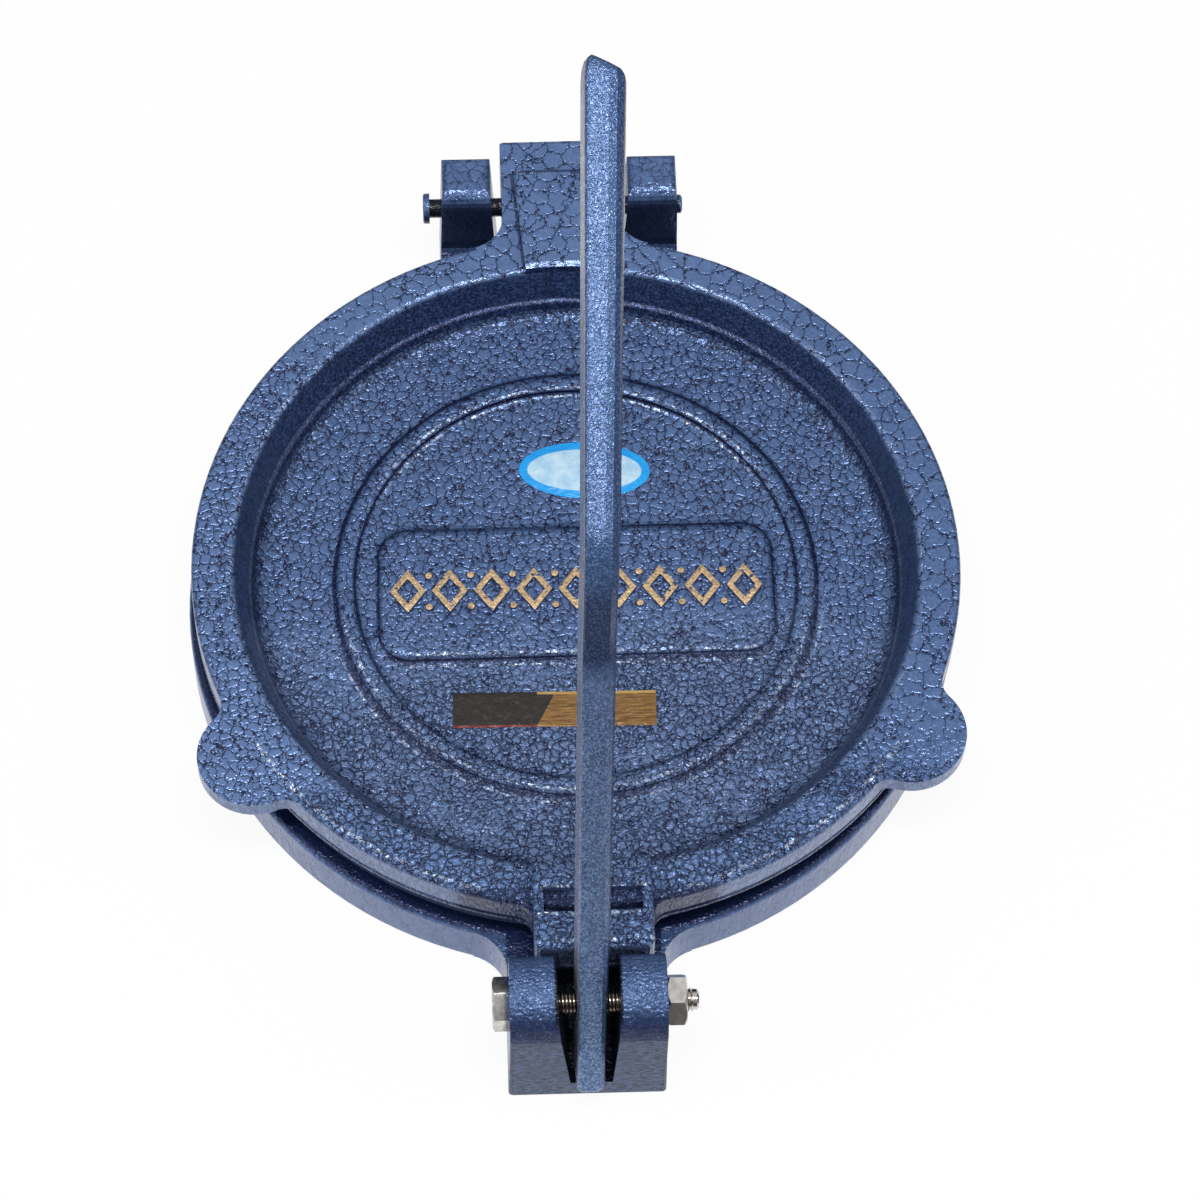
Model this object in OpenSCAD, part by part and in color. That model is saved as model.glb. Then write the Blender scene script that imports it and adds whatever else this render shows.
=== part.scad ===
// Cast tortilla press: two hinged round plates, squeezed by a hand lever that
// turns on a bolt between two ears at the front.
// The press stands on z = 0, and the plates' centre line is the Z axis.
// The lever's clevis is at -Y, the lid's hinge at +Y.

/* [Plates] */
// Outer diameter of the lid's flange
plate_d = 203.4; // [180:0.2:240]
// How far the base's flange reaches past the lid's
base_lip = 0.6; // [0:0.1:1]
// Diameter of the raised pressing faces
press_face_d = 195; // [150:1:196]
// Running gap between the two pressing faces when shut
face_gap = 0.3; // [0.1:0.1:2]
// Rounding of the flanges' outer edges
edge_r = 1.6; // [0.5:0.1:2.2]
// Rounding of a pressing face's rim
face_r = 1.0; // [0.4:0.1:1.6]

/* [Base] */
// Height of the base's flange above the table
base_flange_h = 15.5; // [13:0.5:22]
// How far the lower pressing face stands above the base's flange
face_rise = 2.6; // [1.8:0.1:6]
// Thickness of the base's round web
base_web_t = 6; // [4:0.5:9]
// Thickness of the ring wall that the base stands on
base_wall_t = 7; // [5:0.5:12]
// Width of the stiffening ring under the web
base_ring_w = 6; // [3:0.5:12]
// Diameter of the stiffening ring under the web, at its middle
base_ring_d = 100; // [60:1:130]
// How far the stiffening ring stands down from the web
base_ring_h = 4; // [1:0.5:6]

/* [Lid] */
// Height of the lid's flange, from its top to its lower edge
lid_flange_h = 11; // [8:0.5:14]
// Thickness of the lid between its pan and its pressing face
lid_web_t = 5; // [3.5:0.5:8]
// Depth of the pan in the lid's top
pan_depth = 12.4; // [10:0.2:16]
// Diameter of the pan at its mouth
pan_mouth_d = 180.4; // [150:0.4:184]
// How far the pan's wall runs inwards on its way down
pan_wall_run = 4.3; // [2:0.1:8]
// Inner diameter of the raised ring on the pan's floor
ring_in_d = 118; // [116:1:122]
// Outer diameter of the raised ring on the pan's floor
ring_out_d = 128; // [125:1:140]
// Height of the raised ring
ring_rise = 0.8; // [0.4:0.1:2]
// Length of the raised name plate field, left bare
plaque_l = 105; // [60:1:105]
// Width of the name plate field
plaque_w = 39; // [20:1:40]
// Corner radius of the name plate field
plaque_r = 8; // [3:0.5:9]
// Height of the name plate field
plaque_rise = 1; // [0.4:0.1:2]
// How far the name plate field lies in front of the plate's centre
plaque_front = 3.6; // [0:0.2:5]
// How far the lid is turned about its hinge, seen from above, as it was cast
lid_turn = 0.55; // [0:0.05:0.8]

/* [Lifting tabs] */
// Radius of each round lifting tab
tab_r = 14.8; // [10:0.2:18]
// Angle of each tab in front of the lid's side
tab_angle = 33; // [20:1:45]
// Thickness of each tab
tab_t = 5; // [3:0.5:8]
// Radius of the blend between a tab and the rim
tab_blend_r = 6; // [2:0.5:10]
// How much less far the right tab reaches out than the left one
right_tab_in = 1.4; // [0:0.1:2]

/* [Rear hinge] */
// Width of the lid's hinge tongue
tongue_w = 32; // [24:0.2:40]
// How far the tongue reaches past the plates' edge
tongue_reach = 32.5; // [26:0.5:36]
// Thickness of the tongue
tongue_t = 14; // [13:0.5:16]
// Distance of the hinge pin behind the plates' edge
pin_setback = 15.1; // [15:0.1:17]
// Depth of the hinge pin below the lid's top
pin_drop = 7.5; // [7:0.1:8]
// Radius of the blend between tongue and rim
tongue_blend_r = 10; // [4:0.5:10]
// Width of the raised pad on the tongue, at its rear end
pad_w = 25; // [16:0.5:28]
// Width of the raised pad at the pan's edge
pad_front_w = 19.2; // [12:0.2:28]
// How far the raised pad reaches past the plates' edge
pad_reach = 20.5; // [14:0.5:24]
// Height of the raised pad on the tongue
pad_rise = 2.5; // [1:0.1:4]
// Rounding of the pad's top side edges
pad_edge_r = 1.2; // [0.4:0.1:1.8]
// Side gap between the tongue and each hinge lug
lug_gap = 1; // [0.3:0.1:1.2]
// Thickness of each hinge lug
lug_t = 16.5; // [9:0.5:18]
// Metal in front of the pin's centre in a lug
lug_front = 5.8; // [5:0.1:6.2]
// Metal behind the pin's centre in a lug
lug_back = 9.1; // [6:0.1:14]
// Height of a lug above the pin's centre
lug_rise = 12; // [8:0.1:12]
// Rounding of a lug's top edge in front
lug_r = 5; // [2:0.2:5]
// Rounding of a lug's other upright and top edges
lug_edge_r = 2.2; // [0.6:0.1:2.4]
// How much a lug tapers on its outer side, from its foot to its top
lug_taper = 1; // [0:0.1:1.2]
// How much a lug tapers on the side of the tongue
lug_in_taper = 2; // [0:0.1:2.4]

/* [Hinge pin] */
// Diameter of the hinge pin
pin_d = 5.2; // [4:0.1:6]
// Diameter of the pin's flat head
pin_head_d = 8.4; // [7:0.1:12]
// Thickness of the pin's head
pin_head_t = 1.8; // [1:0.1:3]
// How far the head stands off its lug
pin_standoff = 2.5; // [0.2:0.1:5]
// How far the pin's peened end shows past the other lug
pin_end = 0.8; // [0.4:0.1:3]
// Radial clearance of the pin in the lugs and the tongue
pin_clearance = 0.08; // [0.03:0.01:0.1]

/* [Clevis] */
// Width over both clevis ears
clevis_w = 39.5; // [30:0.5:46]
// Width of the slot at the ears' tops
slot_w = 16; // [14:0.2:18]
// Width of the slot at its floor, which lies under the lever
slot_floor_w = 10.4; // [10:0.2:13]
// Distance of the lever bolt in front of the plates' edge
bolt_setback = 24.3; // [24:0.1:28]
// Depth of the lever bolt below the lid's top
bolt_drop = 4; // [3:0.1:5]
// Radius of the ears about the bolt
ear_r = 11.7; // [10:0.1:12]
// Radius of the blend between the clevis block and the rim
clevis_blend_r = 12; // [4:0.5:14]
// Gap between the lever's sweeping heel and the floor of the slot
heel_clearance = 0.5; // [0.3:0.1:0.8]
// How much the clevis block widens on each side, from below the bolt to its foot
clevis_flare = 0.5; // [0:0.1:1.5]
// Rounding of the clevis block's upright edges
clevis_edge_r = 1.4; // [0.6:0.1:2]

/* [Lid saddle] */
// Width of the saddle at the lid's front, where the lever presses
saddle_w = 30.4; // [24:0.2:34]
// Gap between the saddle and the clevis ears
saddle_gap = 0.6; // [0.3:0.1:0.8]
// Height of the saddle above the lid's top
saddle_rise = 2.4; // [0.5:0.1:2.6]
// Thickness of the lip in front of the groove
lip_t = 10; // [6:0.5:11]
// Width of the cross groove in the saddle
groove_w = 6.5; // [4:0.5:8]
// Depth of the cross groove
groove_depth = 4.5; // [2:0.5:7]
// Thickness of the cheek at each end of the groove
groove_cheek = 2.6; // [1.5:0.1:5]
// Rounding of the saddle's front corners and lip
saddle_r = 2.2; // [1:0.1:3]
// Radius of the blend between saddle and rim
saddle_blend_r = 5; // [2:0.5:8]
// Rounding of the saddle's top side edges
saddle_edge_r = 1.6; // [0.6:0.1:2.4]

/* [Lever bolt] */
// Diameter of the bolt
bolt_d = 6.35; // [5:0.05:6.6]
// Size of the bolt head and nut across their flats
hex_af = 12; // [10:0.1:13]
// Height of the bolt's hexagonal head
bolt_head_h = 4.3; // [3:0.1:6]
// Height of the nut
nut_h = 5.1; // [4:0.1:7]
// Length of bolt that shows past the nut
bolt_end = 3; // [1:0.5:6]
// Radial clearance of the bolt in the lever, the ears and the nut
bolt_clearance = 0.07; // [0.03:0.01:0.1]

/* [Lever] */
// Slope of the lever's lower arm, from level, when the press is shut
arm_angle = 66; // [66:1:72]
// Slope of the short riser above the arm
riser_angle = 78; // [72:1:84]
// Slope of the hand grip
grip_angle = 26; // [20:1:40]
// Length of the heel below the bolt
heel_l = 25.5; // [14:0.5:26]
// Length of the arm from the bolt to the riser
arm_l = 116; // [90:1:120]
// Length of the riser
riser_l = 27; // [20:1:32]
// Length of the grip from the riser to the tip
grip_l = 115; // [80:1:126]
// Radius of the bend from arm to riser
arm_bend_r = 40; // [20:1:60]
// Radius of the bend from riser to grip
grip_bend_r = 14; // [8:1:18]
// Thickness of the arm at its wide rear face
arm_w = 9; // [7:0.1:10]
// Thickness of the lever at its heel
heel_w = 8.4; // [5.5:0.1:9]
// Thickness of the grip at its wide rear face, near the tip
grip_w = 10.8; // [8:0.1:14]
// How much narrower the lever's front face is than its rear face
draft_w = 1.2; // [1:0.1:3]
// Metal in front of the arm's middle line
arm_front = 6.4; // [5:0.1:7]
// Metal behind the arm's middle line
arm_rear = 5.8; // [5:0.1:6]
// Half of the grip's depth at the tip
grip_half = 5.6; // [4:0.1:7]
// Rounding of the lever's long edges
lever_edge_r = 1.1; // [0.5:0.1:1.4]
// Share of the lever's front face that is rounded off to the right
lever_round = 0.4; // [0.2:0.05:0.45]
// How much further the tip reaches at its left than at its right
tip_skew = 3.6; // [0:0.2:4]
// Sideways turn of the grip against the arm
grip_turn = 1.4; // [0:0.1:1.5]
// Sideways lean of the lever in its loose pivot
lever_lean = 0.8; // [0:0.1:1.5]
// How far the lever sits to the right of the slot's middle
lever_shift = 1; // [0:0.1:1]

/* [Hidden] */

paint = [0.30, 0.42, 0.66];
plated = [0.78, 0.76, 0.73];
tiny = 0.01;
draft = 0.4;
// Chamfer round the foot of the base
foot_chamfer = 0.6;
// Hollow blends inside the castings
hollow_r = 3;
// Depth by which joined forms reach into each other
overlap = 1;
// How far blends and the tongue's underside start inside the plate's edge
blend_root = 3;

plate_r = plate_d / 2;
base_r = plate_r + base_lip;
press_z = base_flange_h + face_rise;
lid_face_z = press_z + face_gap;
pan_floor_z = lid_face_z + lid_web_t;
lid_top = pan_floor_z + pan_depth;
lid_flange_z = lid_top - lid_flange_h;
base_web_z = press_z - base_web_t;
base_wall_r = base_r - base_wall_t;

pin_y = plate_r + pin_setback;
pin_z = lid_top - pin_drop;
pin_bore_r = pin_d / 2 + pin_clearance;
tongue_y = plate_r + tongue_reach;
tongue_z = lid_top - tongue_t;
lug_in = tongue_w / 2 + lug_gap;
lug_root = base_wall_r;
lug_top = pin_z + lug_rise;
lug_out = lug_in + lug_t;

bolt_y = -(plate_r + bolt_setback);
bolt_z = lid_top - bolt_drop;
bolt_bore_r = bolt_d / 2 + bolt_clearance;
clevis_front = bolt_y - ear_r;
clevis_back = bolt_y + ear_r;
clevis_step = 2;
clevis_foot_w = clevis_w + 2 * clevis_flare;
flare_z = bolt_z - 0.8 * hex_af;
ear_top = bolt_z + ear_r;
slot_r = norm([heel_l, arm_front]) + heel_clearance;

saddle_top = lid_top + saddle_rise;
saddle_front = clevis_back + saddle_gap;
groove_front = saddle_front + lip_t;

// Points of an arc about c, of radius r, from angle a0 to a1
function arc(c, r, a0, a1, n = 8) =
    [for (i = [0:n]) let (a = a0 + (a1 - a0) * i / n) c + r * [cos(a), sin(a)]];
// Unit vector at angle a
function dir(a) = [cos(a), sin(a)];

// Flat shape that fills the corner between the round rim and a straight side
// at x = side, on the right and ahead (+Y), with a hollow blend of radius r
module rim_blend(rim_r, side, r) {
    blend_y = sqrt(pow(rim_r + r, 2) - pow(side + r, 2));
    difference() {
        polygon([[0, 0], [0, blend_y], [side + r, blend_y]]);
        translate([side + r, blend_y]) circle(r, $fn = 72);
    }
}

// Both mirror halves of a flat shape
module both_sides() {
    children();
    mirror([1, 0, 0]) children();
}

// Extrudes a flat (y, z) outline across the width, centred on x = 0
module across(width) {
    translate([-width / 2, 0, 0])
        rotate([90, 0, 90]) linear_extrude(width) children();
}

// Extrudes a flat (x, z) outline along Y, from y0 back to y1
module along(y0, y1) {
    translate([0, y1, 0])
        rotate([90, 0, 0]) linear_extrude(y1 - y0) children();
}

// A flat upright block from z = 0 to top with rounded upper corners; it is
// foot wide at z = 0, and left and right are how much narrower it is at its top
module rounded_top(foot, top, left, right, r) {
    half = foot / 2;
    polygon(concat(
        [[-half, 0], [half, 0]],
        arc([half - right - r, top - r], r, 0, 90, 5),
        arc([r + left - half, top - r], r, 90, 180, 5)));
}

// ---------- base ----------

module base_plate() {
    ring_in = (base_ring_d - base_ring_w) / 2;
    ring_out = (base_ring_d + base_ring_w) / 2;
    rotate_extrude($fn = 180)
        polygon(concat(
            [[0, base_web_z],
             [ring_in, base_web_z],
             [ring_in + draft, base_web_z - base_ring_h],
             [ring_out - draft, base_web_z - base_ring_h],
             [ring_out, base_web_z]],
            arc([base_wall_r - hollow_r, base_web_z - hollow_r], hollow_r, 90, 0, 4),
            [[base_wall_r + draft, foot_chamfer], [base_wall_r + draft + foot_chamfer, 0],
             [base_r - foot_chamfer, 0], [base_r, foot_chamfer]],
            arc([base_r - edge_r, base_flange_h - edge_r], edge_r, 0, 90, 5),
            [[press_face_d / 2 + draft, base_flange_h]],
            arc([press_face_d / 2 - face_r, press_z - face_r], face_r, 0, 90, 3),
            [[0, press_z]]));
}

// Solid side outline of one hinge lug, rounded at its top edges
module lug_outline() {
    front = pin_y - lug_front;
    back = pin_y + lug_back;
    polygon(concat(
        [[lug_root, 0], [back + 2 * draft, 0]],
        arc([back - lug_edge_r, lug_top - lug_edge_r], lug_edge_r, 0, 90, 4),
        arc([front + lug_r, lug_top - lug_r], lug_r, 90, 180, 6),
        arc([front - hollow_r, base_flange_h + hollow_r], hollow_r, 0, -90, 4),
        [[lug_root, base_flange_h]]));
}

module hinge_lugs() {
    both_sides()
        translate([lug_in + lug_t / 2, 0, 0])
            intersection() {
                across(lug_t) lug_outline();
                along(lug_root, pin_y + 2 * lug_back)
                    rounded_top(lug_t, lug_top, lug_in_taper, lug_taper, lug_edge_r);
            }
}

// Block under the lever, rounded about the bolt above and open in its slot
module clevis_block() {
    root = -(base_wall_r + base_wall_t / 3);
    mirror([0, 1, 0]) linear_extrude(base_flange_h - edge_r / 2)
        difference() {
            both_sides() rim_blend(base_r, clevis_w / 2, clevis_blend_r);
            circle(base_wall_r + base_wall_t / 2, $fn = 180);
        }
    intersection() {
        along(clevis_front - overlap, root + overlap)
            polygon([[-clevis_foot_w / 2, 0], [clevis_foot_w / 2, 0], [clevis_w / 2, flare_z],
                     [clevis_w / 2, ear_top + overlap], [-clevis_w / 2, ear_top + overlap],
                     [-clevis_w / 2, flare_z]]);
        across(clevis_foot_w)
            polygon(concat(
                [[root, 0], [root, base_flange_h]],
                [[clevis_back + clevis_step, base_flange_h],
                 [clevis_back, base_flange_h + clevis_step]],
                arc([bolt_y, bolt_z], ear_r, 0, 180, 24),
                [[clevis_front, foot_chamfer], [clevis_front + foot_chamfer, 0]]));
        linear_extrude(ear_top + overlap)
            polygon(concat(
                [[clevis_foot_w / 2, root], [-clevis_foot_w / 2, root]],
                arc([clevis_edge_r - clevis_foot_w / 2, clevis_front + clevis_edge_r], clevis_edge_r, 180, 270, 4),
                arc([clevis_foot_w / 2 - clevis_edge_r, clevis_front + clevis_edge_r], clevis_edge_r, 270, 360, 4)));
    }
}

// Space of the lever's heel: round about the bolt, narrower at its floor
module clevis_slot() {
    slot_floor = bolt_z - slot_r;
    floor_left = lever_shift - slot_floor_w / 2;
    floor_right = lever_shift + slot_floor_w / 2;
    intersection() {
        translate([-slot_w, bolt_y, bolt_z])
            rotate([0, 90, 0]) cylinder(r = slot_r, h = 2 * slot_w, $fn = 120);
        along(bolt_y - slot_r - overlap, bolt_y + slot_r + overlap)
            polygon([[floor_left, slot_floor - overlap], [floor_right, slot_floor - overlap],
                     [floor_right, slot_floor], [slot_w / 2, ear_top],
                     [slot_w / 2, bolt_z + slot_r + overlap], [-slot_w / 2, bolt_z + slot_r + overlap],
                     [-slot_w / 2, ear_top], [floor_left, slot_floor]]);
    }
}

module base() {
    color(paint)
        difference() {
            union() {
                base_plate();
                hinge_lugs();
                clevis_block();
            }
            clevis_slot();
            translate([-lug_out - 1, pin_y, pin_z])
                rotate([0, 90, 0]) cylinder(r = pin_bore_r, h = 2 * lug_out + 2, $fn = 48);
            translate([-clevis_w / 2 - 1, bolt_y, bolt_z])
                rotate([0, 90, 0]) cylinder(r = bolt_bore_r, h = clevis_w + 2, $fn = 48);
        }
}

// ---------- lid ----------

module lid_plate() {
    rotate_extrude($fn = 180)
        polygon(concat(
            [[0, lid_face_z]],
            arc([press_face_d / 2 - face_r, lid_face_z + face_r], face_r, -90, 0, 3),
            [[press_face_d / 2 + draft, lid_flange_z], [plate_r - foot_chamfer, lid_flange_z],
             [plate_r, lid_flange_z + foot_chamfer]],
            arc([plate_r - edge_r, lid_top - edge_r], edge_r, 0, 90, 5),
            [[0, lid_top]]));
}

// Space of the pan, with a rounded mouth and a rounded foot to its wall
module pan_space() {
    mouth = pan_mouth_d / 2;
    foot = mouth - pan_wall_run;
    slope = atan2(pan_wall_run, pan_depth);
    mouth_r = 1.2;
    rotate_extrude($fn = 180)
        polygon(concat(
            [[0, pan_floor_z]],
            arc([foot - hollow_r, pan_floor_z + hollow_r], hollow_r, -90, -slope, 4),
            arc([mouth + mouth_r, lid_top - mouth_r], mouth_r, 180 - slope, 90, 4),
            [[mouth + mouth_r, lid_top + tiny], [mouth, lid_top + tiny],
             [mouth, lid_top + pad_rise + saddle_rise + overlap],
             [0, lid_top + pad_rise + saddle_rise + overlap]]));
}

module pan_floor_marks() {
    sunk = 0.5;
    translate([0, 0, pan_floor_z - sunk])
        difference() {
            cylinder(d = ring_out_d, h = ring_rise + sunk, $fn = 180);
            translate([0, 0, -overlap]) cylinder(d = ring_in_d, h = ring_rise + 3 * overlap, $fn = 180);
        }
    corner_x = plaque_l / 2 - plaque_r;
    corner_y = plaque_w / 2 - plaque_r;
    translate([0, -plaque_front, pan_floor_z - sunk])
        linear_extrude(plaque_rise + sunk)
            polygon(concat(
                arc([corner_x, corner_y], plaque_r, 0, 90, 6),
                arc([-corner_x, corner_y], plaque_r, 90, 180, 6),
                arc([-corner_x, -corner_y], plaque_r, 180, 270, 6),
                arc([corner_x, -corner_y], plaque_r, 270, 360, 6)));
}

// A round tab on the right, its centre reach away from the plate's centre
module lifting_tab(reach) {
    tab_c = reach * dir(-tab_angle);
    // a blend circle touches both the rim and the tab from outside, and dips into both
    dip = 0.02;
    from_c = tab_r + tab_blend_r - dip;
    from_o = plate_r + tab_blend_r - dip;
    swing = acos((reach * reach + from_o * from_o - from_c * from_c) / (2 * reach * from_o));
    translate([0, 0, lid_top - tab_t])
        linear_extrude(tab_t) {
            translate(tab_c) circle(tab_r, $fn = 72);
            for (side = [-1, 1]) {
                blend_c = from_o * dir(-tab_angle + side * swing);
                difference() {
                    polygon([0.9 * tab_c, tab_c, blend_c, 0.9 * blend_c]);
                    translate(blend_c) circle(tab_blend_r, $fn = 48);
                }
            }
        }
}

// Side outline of the hinge tongue, rounded at its rear end
module tongue_outline() {
    under_r = 4;
    top_r = 1.5;
    polygon(concat(
        [[0, lid_top], [0, lid_flange_z], [plate_r - blend_root, lid_flange_z - overlap], [plate_r + 2 * overlap, tongue_z]],
        arc([tongue_y - under_r, tongue_z + under_r], under_r, -90, 0, 5),
        arc([tongue_y - top_r, lid_top - top_r], top_r, 0, 90, 3)));
}

// Hinge tongue with its blends into the rim and the raised pad on its top
module tongue() {
    half = tongue_w / 2;
    corner = 1.2;
    intersection() {
        translate([0, 0, tongue_z])
            linear_extrude(tongue_t)
                difference() {
                    polygon([[-half, 0], [half, 0], [half, tongue_y - corner], [half - corner, tongue_y],
                             [corner - half, tongue_y], [-half, tongue_y - corner]]);
                    circle(press_face_d / 2 - blend_root, $fn = 120);
                }
        across(tongue_w) tongue_outline();
    }
    translate([0, 0, lid_flange_z])
        linear_extrude(lid_flange_h)
            difference() {
                both_sides() rim_blend(plate_r, half, tongue_blend_r);
                circle(plate_r - blend_root, $fn = 180);
            }
    pad_corner = 2;
    pad_back = plate_r + pad_reach;
    pad_front = pan_mouth_d / 2 - 8;
    translate([0, 0, lid_top - overlap])
        intersection() {
            linear_extrude(pad_rise + overlap)
                polygon([[-pad_front_w / 2, pad_front], [pad_front_w / 2, pad_front],
                         [pad_w / 2, pad_back - pad_corner], [pad_w / 2 - pad_corner, pad_back],
                         [pad_corner - pad_w / 2, pad_back], [-pad_w / 2, pad_back - pad_corner]]);
            along(pad_front - overlap, pad_back + overlap)
                rounded_top(pad_w, pad_rise + overlap, 0, 0, pad_edge_r);
        }
}

// Front saddle: a block on the rim with a cross groove behind its lip
module saddle() {
    half = saddle_w / 2;
    lip_z = saddle_top - saddle_r;
    saddle_root = 8 - pan_mouth_d / 2;
    block_h = lid_flange_h + saddle_rise;
    difference() {
        intersection() {
            translate([0, 0, lid_flange_z])
                linear_extrude(block_h)
                    polygon(concat(
                        [[half, saddle_root], [-half, saddle_root]],
                        arc([saddle_r - half, saddle_front + saddle_r], saddle_r, 180, 270, 4),
                        arc([half - saddle_r, saddle_front + saddle_r], saddle_r, 270, 360, 4)));
            across(saddle_w)
                polygon(concat(
                    [[0, saddle_top], [0, 0], [saddle_front, 0]],
                    arc([saddle_front + saddle_r, lip_z], saddle_r, 180, 90, 5)));
            translate([0, 0, lid_flange_z])
                along(saddle_front - overlap, saddle_root + overlap)
                    rounded_top(saddle_w, block_h, 0, 0, saddle_edge_r);
        }
        translate([groove_cheek - half, groove_front, saddle_top - groove_depth])
            cube([saddle_w - 2 * groove_cheek, groove_w, groove_depth + overlap]);
    }
    translate([0, 0, lid_flange_z])
        mirror([0, 1, 0]) linear_extrude(lid_flange_h - edge_r / 2)
            difference() {
                both_sides() rim_blend(plate_r, half, saddle_blend_r);
                circle(plate_r - blend_root, $fn = 180);
                translate([overlap - half, 0]) square([saddle_w - 2 * overlap, 2 * plate_r]);
            }
}

module lid() {
    color(paint)
        difference() {
            translate([0, pin_y, 0]) rotate(lid_turn) translate([0, -pin_y, 0]) {
                difference() {
                    union() {
                        lid_plate();
                        lifting_tab(plate_r - right_tab_in);
                        mirror([1, 0, 0]) lifting_tab(plate_r);
                        tongue();
                        saddle();
                    }
                    pan_space();
                }
                pan_floor_marks();
            }
            translate([-tongue_w, pin_y, pin_z])
                rotate([0, 90, 0]) cylinder(r = pin_bore_r, h = 2 * tongue_w, $fn = 48);
        }
}

// ---------- lever ----------

// Stations of a bend of radius r at corner p, as [point, slope]
function bend(p, a_in, a_out, r, n) =
    let (turn = a_out - a_in, side = sign(turn),
         start = p - r * tan(abs(turn) / 2) * dir(a_in),
         c = start + side * r * dir(a_in + 90))
    [for (i = [0:n]) let (a = a_in + turn * i / n) [c - side * r * dir(a + 90), a]];

elbow = arm_l * dir(arm_angle);
riser_top = elbow + riser_l * dir(riser_angle);
lever_tip = riser_top + grip_l * dir(grip_angle);
tip_r = 4;

// The lever's middle line in its own plane, from heel to tip
lever_line = concat(
    [[-heel_l * dir(arm_angle), arm_angle]],
    [[(1 - heel_l) * dir(arm_angle), arm_angle]],
    [[[0, 0], arm_angle]],
    [[0.25 * elbow, arm_angle]],
    bend(elbow, arm_angle, riser_angle, arm_bend_r, 5),
    bend(riser_top, riser_angle, grip_angle, grip_bend_r, 8),
    [[(riser_top + lever_tip) / 2, grip_angle]],
    [for (a = [0:30:90]) [lever_tip - tip_r * (1 - sin(a)) * dir(grip_angle), grip_angle]]);

// Sizes along the lever: rear width, front metal and rear metal
grip_start = norm(riser_top);
tip_at = norm(lever_tip);
function rear_w(s) = lookup(s, [[-heel_l, heel_w], [0, (heel_w + arm_w) / 2], [0.25 * arm_l, arm_w],
                                [grip_start, arm_w + 0.4], [tip_at, grip_w]]);
function front_metal(s) = lookup(s, [[0, arm_front], [grip_start, arm_front], [tip_at, grip_half]]);
function rear_metal(s) = lookup(s, [[0, arm_rear], [grip_start, arm_rear], [tip_at, grip_half]]);

// One ring of points round the lever: a trapezium with rounded corners, wide at
// the rear and narrow at the front; shrink pulls an end ring inwards, and skew
// carries its left side on along the lever
function lever_ring(p, a, shrink, skew) =
    let (s = p * dir(arm_angle) < 0 ? -norm(p) : norm(p),
         r = lever_edge_r,
         rear_x = rear_w(s) / 2 - shrink,
         front_x = (rear_w(s) - draft_w) / 2 - shrink,
         round_r = 2 * front_x * lever_round,
         up = front_metal(s) - shrink,
         down = -rear_metal(s) + shrink,
         side_x = max(0, (p - riser_top) * dir(grip_angle)) * tan(grip_turn),
         corners = [[rear_x - r, down + r, -90, r], [front_x - round_r, up - round_r, 0, round_r],
                    [r - front_x, up - r, 90, r], [r - rear_x, down + r, 180, r]])
    [for (c = corners) for (k = [0:3])
        let (q = [c[0], c[1]] + c[3] * dir(c[2] + 30 * k),
             n = q[1] * dir(a + 90) - skew * q[0] / rear_x * dir(a))
        [q[0] + side_x, p[0] + n[0], p[1] + n[1]]];

// The loft through all rings. Its last four rings round the tip off.
module lever_body() {
    last = len(lever_line) - 1;
    ring_n = 16;
    heel_shrink = 0.5;
    points = [for (i = [0:last])
        let (end_a = max(0, 30 * (i - last + 3)),
             shrink = i == 0 ? heel_shrink : tip_r * 0.4 * (1 - cos(end_a)),
             skew = tip_skew / 2 * sin(end_a))
        each lever_ring(lever_line[i][0], lever_line[i][1], shrink, skew)];
    sides = [for (i = [0:last - 1]) for (k = [0:ring_n - 1])
        let (a = i * ring_n + k, b = i * ring_n + (k + 1) % ring_n)
        each [[a, b, b + ring_n], [a, b + ring_n, a + ring_n]]];
    caps = [[for (k = [ring_n - 1:-1:0]) k], [for (k = [0:ring_n - 1]) last * ring_n + k]];
    polyhedron(points = points, faces = concat([for (f = sides) [f[2], f[1], f[0]]],
        [for (f = caps) [for (k = [len(f) - 1:-1:0]) f[k]]]), convexity = 6);
}

module lever() {
    color(paint)
        difference() {
            translate([lever_shift, bolt_y, bolt_z])
                rotate([0, lever_lean, 0]) lever_body();
            translate([-slot_w, bolt_y, bolt_z])
                rotate([0, 90, 0]) cylinder(r = bolt_bore_r, h = 2 * slot_w, $fn = 48);
        }
}

// ---------- pin, bolt and nut ----------

module hinge_pin() {
    head_x = -(lug_out + pin_standoff);
    end_x = lug_out + pin_end;
    color(paint)
        translate([0, pin_y, pin_z]) rotate([0, 90, 0])
            rotate_extrude($fn = 48)
                polygon(concat(
                    [[0, head_x - pin_head_t]],
                    arc([pin_head_d / 2 - 0.6, head_x - pin_head_t + 0.6], 0.6, -90, 0, 3),
                    [[pin_head_d / 2, head_x], [pin_d / 2, head_x], [pin_d / 2, end_x - 0.4],
                     [pin_d / 2 - 0.5, end_x], [0, end_x]]));
}

// A hexagon prism from x = 0 to x = h, with hex_af between its flats and its
// corners turned off by a cone; at turn = 0 one corner points up
module hex_prism(h, turn) {
    corner_r = hex_af / 2 / cos(30);
    intersection() {
        rotate([0, 90, 0]) rotate(turn) cylinder(r = corner_r, h = h, $fn = 6);
        rotate([0, 90, 0]) rotate_extrude($fn = 48)
            polygon([[0, 0], [hex_af / 2 - 0.2, 0], [corner_r, 0.9], [corner_r, h - 0.9],
                     [hex_af / 2 - 0.2, h], [0, h]]);
    }
}

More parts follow.
